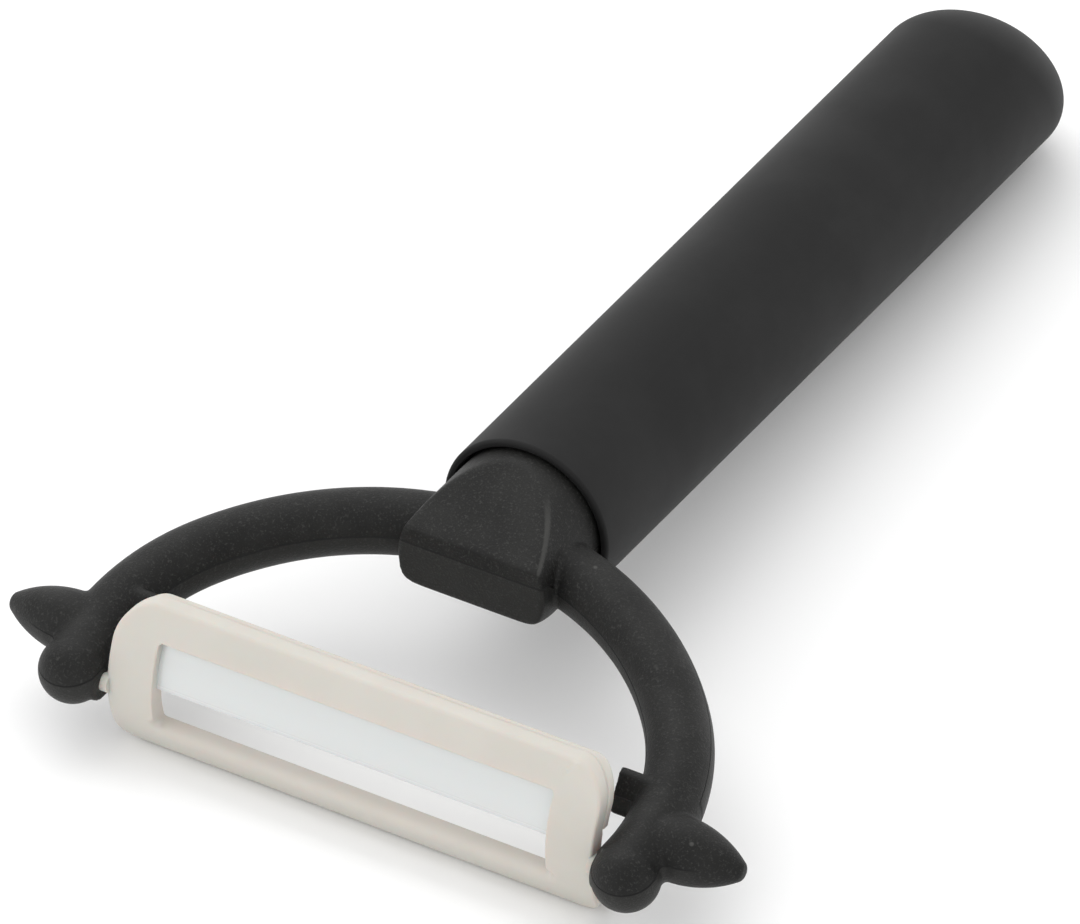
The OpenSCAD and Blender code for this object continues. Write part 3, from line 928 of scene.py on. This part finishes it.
def rail(inner, outer, near, far, rounds):
    """A rail between an inner and an outer line, as rings of points on the curved wall: round the
    inner front edge, over the front face, round the outer front edge, then back the same way at
    the rear. Inner and outer give their line for an inset. Near is the front's depth, far the
    rear's depth at a height, and rounds gives the four edges' radii at a height, in that order.
    The rings over each face lie closer together towards its edges, which keeps its shading
    flat."""
    bend, across, nudge = 8, 13, 0.1 * MM
    inner_line, outer_line = inner(0.0), outer(0.0)
    into = (inner(-nudge) - inner_line) / nudge
    back = (outer(nudge) - outer_line) / nudge
    turn = np.linspace(0, np.pi / 2, bend)
    rise, fall = 1 - np.cos(turn), 1 - np.sin(turn)
    between = (0.5 - 0.5 * np.cos(np.linspace(0, np.pi, across)))[1:-1]
    at_inner = [radius[:, None] for radius in rounds(inner_line[:, 1])]
    at_outer = [radius[:, None] for radius in rounds(outer_line[:, 1])]
    faces = ((inner_line, outer_line, into, back, at_inner[0], at_outer[1], False),
             (outer_line, inner_line, back, into, at_outer[2], at_inner[3], True))
    rings = []
    for first, last, go, come, low, high, behind in faces:
        starts = [first + low * r * go for r in rise]
        ends = [last + high * r * come for r in fall]
        spots = starts + [starts[-1] * (1 - t) + ends[0] * t for t in between] + ends
        depths = [low[:, 0] * r for r in fall] + [0 * low[:, 0]] * len(between)
        depths += [high[:, 0] * r for r in rise]
        spots, depths = np.stack(spots, 1), np.stack(depths, 1)
        x, z = spots[..., 0], spots[..., 1]
        rings.append(wall(x, z, far(z) - depths if behind else near + depths))
    return np.concatenate(rings, 1)


def frame_surface():
    """The carrier's frame: a rail carried round the window, thinner above the clamp's feet. Its
    upper rear edge and the window's lower front edge are rounder than the rest."""
    carrier = bpy.context.scene.peeler_carrier
    tight = 0.2 * MM
    seat_run, sill_run, crest_run = 0.5 * MM, 0.8 * MM, 4.0 * MM

    def inner(inset):
        return outline(carrier.window_half, -carrier.window_drop, carrier.window_top,
                       carrier.window_corner, carrier.window_corner, inset)

    def outer(inset):
        return outline(carrier.half, -carrier.drop, carrier.top, carrier.lower_corner,
                       carrier.upper_corner, inset)

    def far(z):
        lift = np.clip((z - carrier.clamp_low + seat_run) / seat_run, 0, 1)
        return carrier.wall + (carrier.seat - carrier.wall) * lift

    def rounds(z):
        sill = np.clip((-z - carrier.window_drop + sill_run) / sill_run, 0, 1)
        crest = np.clip((z - carrier.clamp_top + crest_run) / crest_run, 0, 1)
        edge = np.full_like(z, tight)
        return (edge + (carrier.sill_round - tight) * sill, edge + carrier.edge_round - tight,
                edge + (carrier.rear_round - tight) * crest, edge)

    return closed_grid(laid(rail(inner, outer, 0.0, far, rounds)), along=True)


def trunnion_surface(side):
    """A trunnion: a cylinder with a small chamfer, along X from inside the frame."""
    carrier = bpy.context.scene.peeler_carrier
    chamfer, root = 0.3 * MM, 0.3 * MM
    radius = np.array([carrier.trunnion, carrier.trunnion, carrier.trunnion - chamfer])
    along = np.array([carrier.half - root, carrier.trunnion_end - chamfer,
                      carrier.trunnion_end])
    return closed_grid(laid(along_x(turned(radius, along, steps=64), side)))


def clamp_surface():
    """The rear clamp: a rail along an arch, with a bar behind the frame's upper rail and a leg
    down each end."""
    carrier = bpy.context.scene.peeler_carrier
    gap, edge = 0.02 * MM, 0.3 * MM
    near, far = carrier.seat + gap, carrier.seat + carrier.clamp

    def inner(inset):
        return arch(carrier.window_half, carrier.clamp_low, carrier.window_top,
                    carrier.window_corner, inset)

    def outer(inset):
        return arch(carrier.half, carrier.clamp_low, carrier.clamp_top, carrier.clamp_corner,
                    inset)

    return closed_grid(laid(rail(inner, outer, near, lambda z: far,
                                 lambda z: [np.full_like(z, edge)] * 4)))


def blade_surface():
    """The blade: a curved strip's section, with the ground bevel on the back of its lower edge,
    carried along X. The section goes up the front, down the back and down the bevel to a thin
    edge. Its ends draw in a little to round them."""
    carrier = bpy.context.scene.peeler_carrier
    front, back, edge, bevel = carrier.lip, carrier.seat, carrier.edge_height, carrier.bevel
    up_steps, down_steps, bevel_steps, along_steps = 40, 34, 12, 60
    edge_rise, edge_foot, edge_thickness, end_round = 0.1 * MM, 0.02 * MM, 0.12 * MM, 0.1 * MM
    up = np.linspace(edge + edge_rise, carrier.blade_top, up_steps)
    down = np.linspace(carrier.blade_top, edge + bevel, down_steps)
    ground = np.linspace(0, 1, bevel_steps)[1:]
    height = np.concatenate([up, down, edge + bevel - ground * (bevel - edge_foot)])
    depth = np.concatenate([np.full(up_steps, front), np.full(down_steps, back),
                            back - ground * (back - front - edge_thickness)])
    end = carrier.blade_half
    along = np.concatenate([[-end], np.linspace(-end + end_round, end - end_round, along_steps),
                            [end]])
    x, z = np.meshgrid(along, height, indexing="ij")
    deep = np.broadcast_to(depth, x.shape)
    drawn_in = deep + end_round * np.sign((front + back) / 2 - deep)
    return closed_grid(laid(wall(x, z, np.where(np.abs(x) > end - end_round / 2, drawn_in,
                                                deep))))


# ---------------------------------------------------------------- stage

def add_camera(scene):
    """The camera at the photograph's viewing angle: back along the line of sight from the point
    between the ball centres, then shifted right and up. Its axes and place are the columns of
    its matrix."""
    view, yoke = scene.peeler_view, scene.peeler_yoke
    a, e = view.azimuth, view.elevation
    back = np.array([np.sin(a) * np.cos(e), -np.cos(a) * np.cos(e), np.sin(e)])
    right = np.array([np.cos(a), np.sin(a), 0.0])
    up = np.cross(back, right)
    spot = laid(np.array([0.0, -yoke.ball_lead, yoke.ball_lift]))
    place = spot + view.right * right + view.up * up + view.distance * back
    data = bpy.data.cameras.new("Camera")
    data.sensor_fit, data.sensor_width = "HORIZONTAL", 36.0
    data.lens = view.focal / MM
    data.clip_start, data.clip_end = 0.01, 20.0
    camera = bpy.data.objects.new("Camera", data)
    scene.collection.objects.link(camera)
    rows = np.stack([right, up, back, place], -1).tolist()
    camera.matrix_world = Matrix((*rows, (0, 0, 0, 1)))
    scene.camera = camera


def add_floor():
    """A plain square floor, as a grid of points."""
    size, steps = 3.0, 3
    line = np.linspace(-size, size, steps)
    x, y = np.meshgrid(line, line, indexing="ij")
    verts = np.stack([x, y, np.zeros_like(x)], -1).reshape(-1, 3)
    index = np.arange(steps * steps).reshape(steps, steps)
    faces = np.stack([index[:-1, :-1], index[1:, :-1], index[1:, 1:], index[:-1, 1:]], -1)
    floor = new_piece("floor", verts, faces.reshape(-1, 4))
    floor.data.materials.append(pale_floor())


def add_lights(scene):
    """A pale surround and three square lights. Each row gives a light's power, its place, from
    where it faces the origin, and its side, in metres."""
    view = scene.peeler_view
    world = bpy.data.worlds.new("Surround")
    world.use_nodes = True
    surround = world.node_tree.nodes["Background"]
    surround.inputs["Color"].default_value = (1, 1, 1, 1)
    surround.inputs["Strength"].default_value = view.sky
    scene.world = world
    for name, power, where, side in (("Key", view.key, (-0.42, 0.26, 0.78), 0.9),
                                     ("Fill", view.fill, (-0.55, -0.85, 0.45), 0.7),
                                     ("Back", view.rim, (0.45, 0.9, 0.45), 0.7)):
        lamp = bpy.data.lights.new(name, "AREA")
        lamp.energy, lamp.size = power, side
        light = bpy.data.objects.new(name, lamp)
        light.location = where
        light.rotation_euler = Vector(where).to_track_quat("Z", "Y").to_euler()
        scene.collection.objects.link(light)


# ---------------------------------------------------------------- operators

class PEELER_OT_stage(Operator):
    """Make the floor, the lights and the camera"""
    bl_idname = "peeler.stage"
    bl_label = "Stage"

    def execute(self, context):
        context.scene.view_settings.view_transform = "Standard"
        add_camera(context.scene)
        add_floor()
        add_lights(context.scene)
        return {"FINISHED"}


class PEELER_OT_yoke(Operator):
    """Make the yoke: bow, ball ends, eye removers, neck and tang"""
    bl_idname = "peeler.yoke"
    bl_label = "Yoke"

    def execute(self, context):
        sizes = context.scene.peeler_yoke
        skin = merged(*yoke_surfaces(), sizes.voxel, sizes.blend)
        piece = new_piece("yoke_moulding", *joined([skin, tang_surface()]))
        dress(piece, black_moulding(), "grip", "yoke")
        return {"FINISHED"}


class PEELER_OT_handle(Operator):
    """Make the soft-touch handle"""
    bl_idname = "peeler.handle"
    bl_label = "Handle"

    def execute(self, context):
        piece = new_piece("handle_grip", *handle_surface())
        dress(piece, soft_touch(), "grip", "handle")
        return {"FINISHED"}


class PEELER_OT_carrier(Operator):
    """Make the carrier's frame with its trunnions, and the rear clamp"""
    bl_idname = "peeler.carrier"
    bl_label = "Blade Carrier"

    def execute(self, context):
        ivory = ivory_moulding()
        front = joined([frame_surface(), trunnion_surface(-1), trunnion_surface(1)])
        piece = new_piece("carrier_front", *front)
        dress(piece, ivory, "carrier", "carrier_frame")
        piece = new_piece("carrier_back", *clamp_surface())
        dress(piece, ivory, "carrier", "carrier_clamp")
        return {"FINISHED"}


class PEELER_OT_blade(Operator):
    """Make the ceramic blade"""
    bl_idname = "peeler.blade"
    bl_label = "Blade"

    def execute(self, context):
        piece = new_piece("ceramic_blade", *blade_surface(), sharp=30.0)
        dress(piece, white_ceramic(), "carrier", "blade")
        return {"FINISHED"}


class PEELER_PT_build(Panel):
    """Peeler builders in the sidebar"""
    bl_label = "Vegetable Peeler"
    bl_idname = "PEELER_PT_build"
    bl_space_type = "VIEW_3D"
    bl_region_type = "UI"
    bl_category = "Peeler"

    def draw(self, context):
        column = self.layout.column(align=True)
        for operator in OPERATORS:
            column.operator(operator.bl_idname)


GROUPS = (("peeler_handle", PeelerHandle), ("peeler_yoke", PeelerYoke),
          ("peeler_carrier", PeelerCarrier), ("peeler_finish", PeelerFinish),
          ("peeler_view", PeelerView))
OPERATORS = (PEELER_OT_stage, PEELER_OT_yoke, PEELER_OT_handle, PEELER_OT_carrier,
             PEELER_OT_blade)


def register():
    for name, group in GROUPS:
        bpy.utils.register_class(group)
        setattr(bpy.types.Scene, name, PointerProperty(type=group))
    for item in (*OPERATORS, PEELER_PT_build):
        bpy.utils.register_class(item)


def unregister():
    for item in (PEELER_PT_build, *reversed(OPERATORS)):
        bpy.utils.unregister_class(item)
    for name, group in reversed(GROUPS):
        delattr(bpy.types.Scene, name)
        bpy.utils.unregister_class(group)


def main():
    """Builds everything in order."""
    register()
    bpy.ops.peeler.stage()
    bpy.ops.peeler.yoke()
    bpy.ops.peeler.handle()
    bpy.ops.peeler.carrier()
    bpy.ops.peeler.blade()


if __name__ == "__main__":
    main()
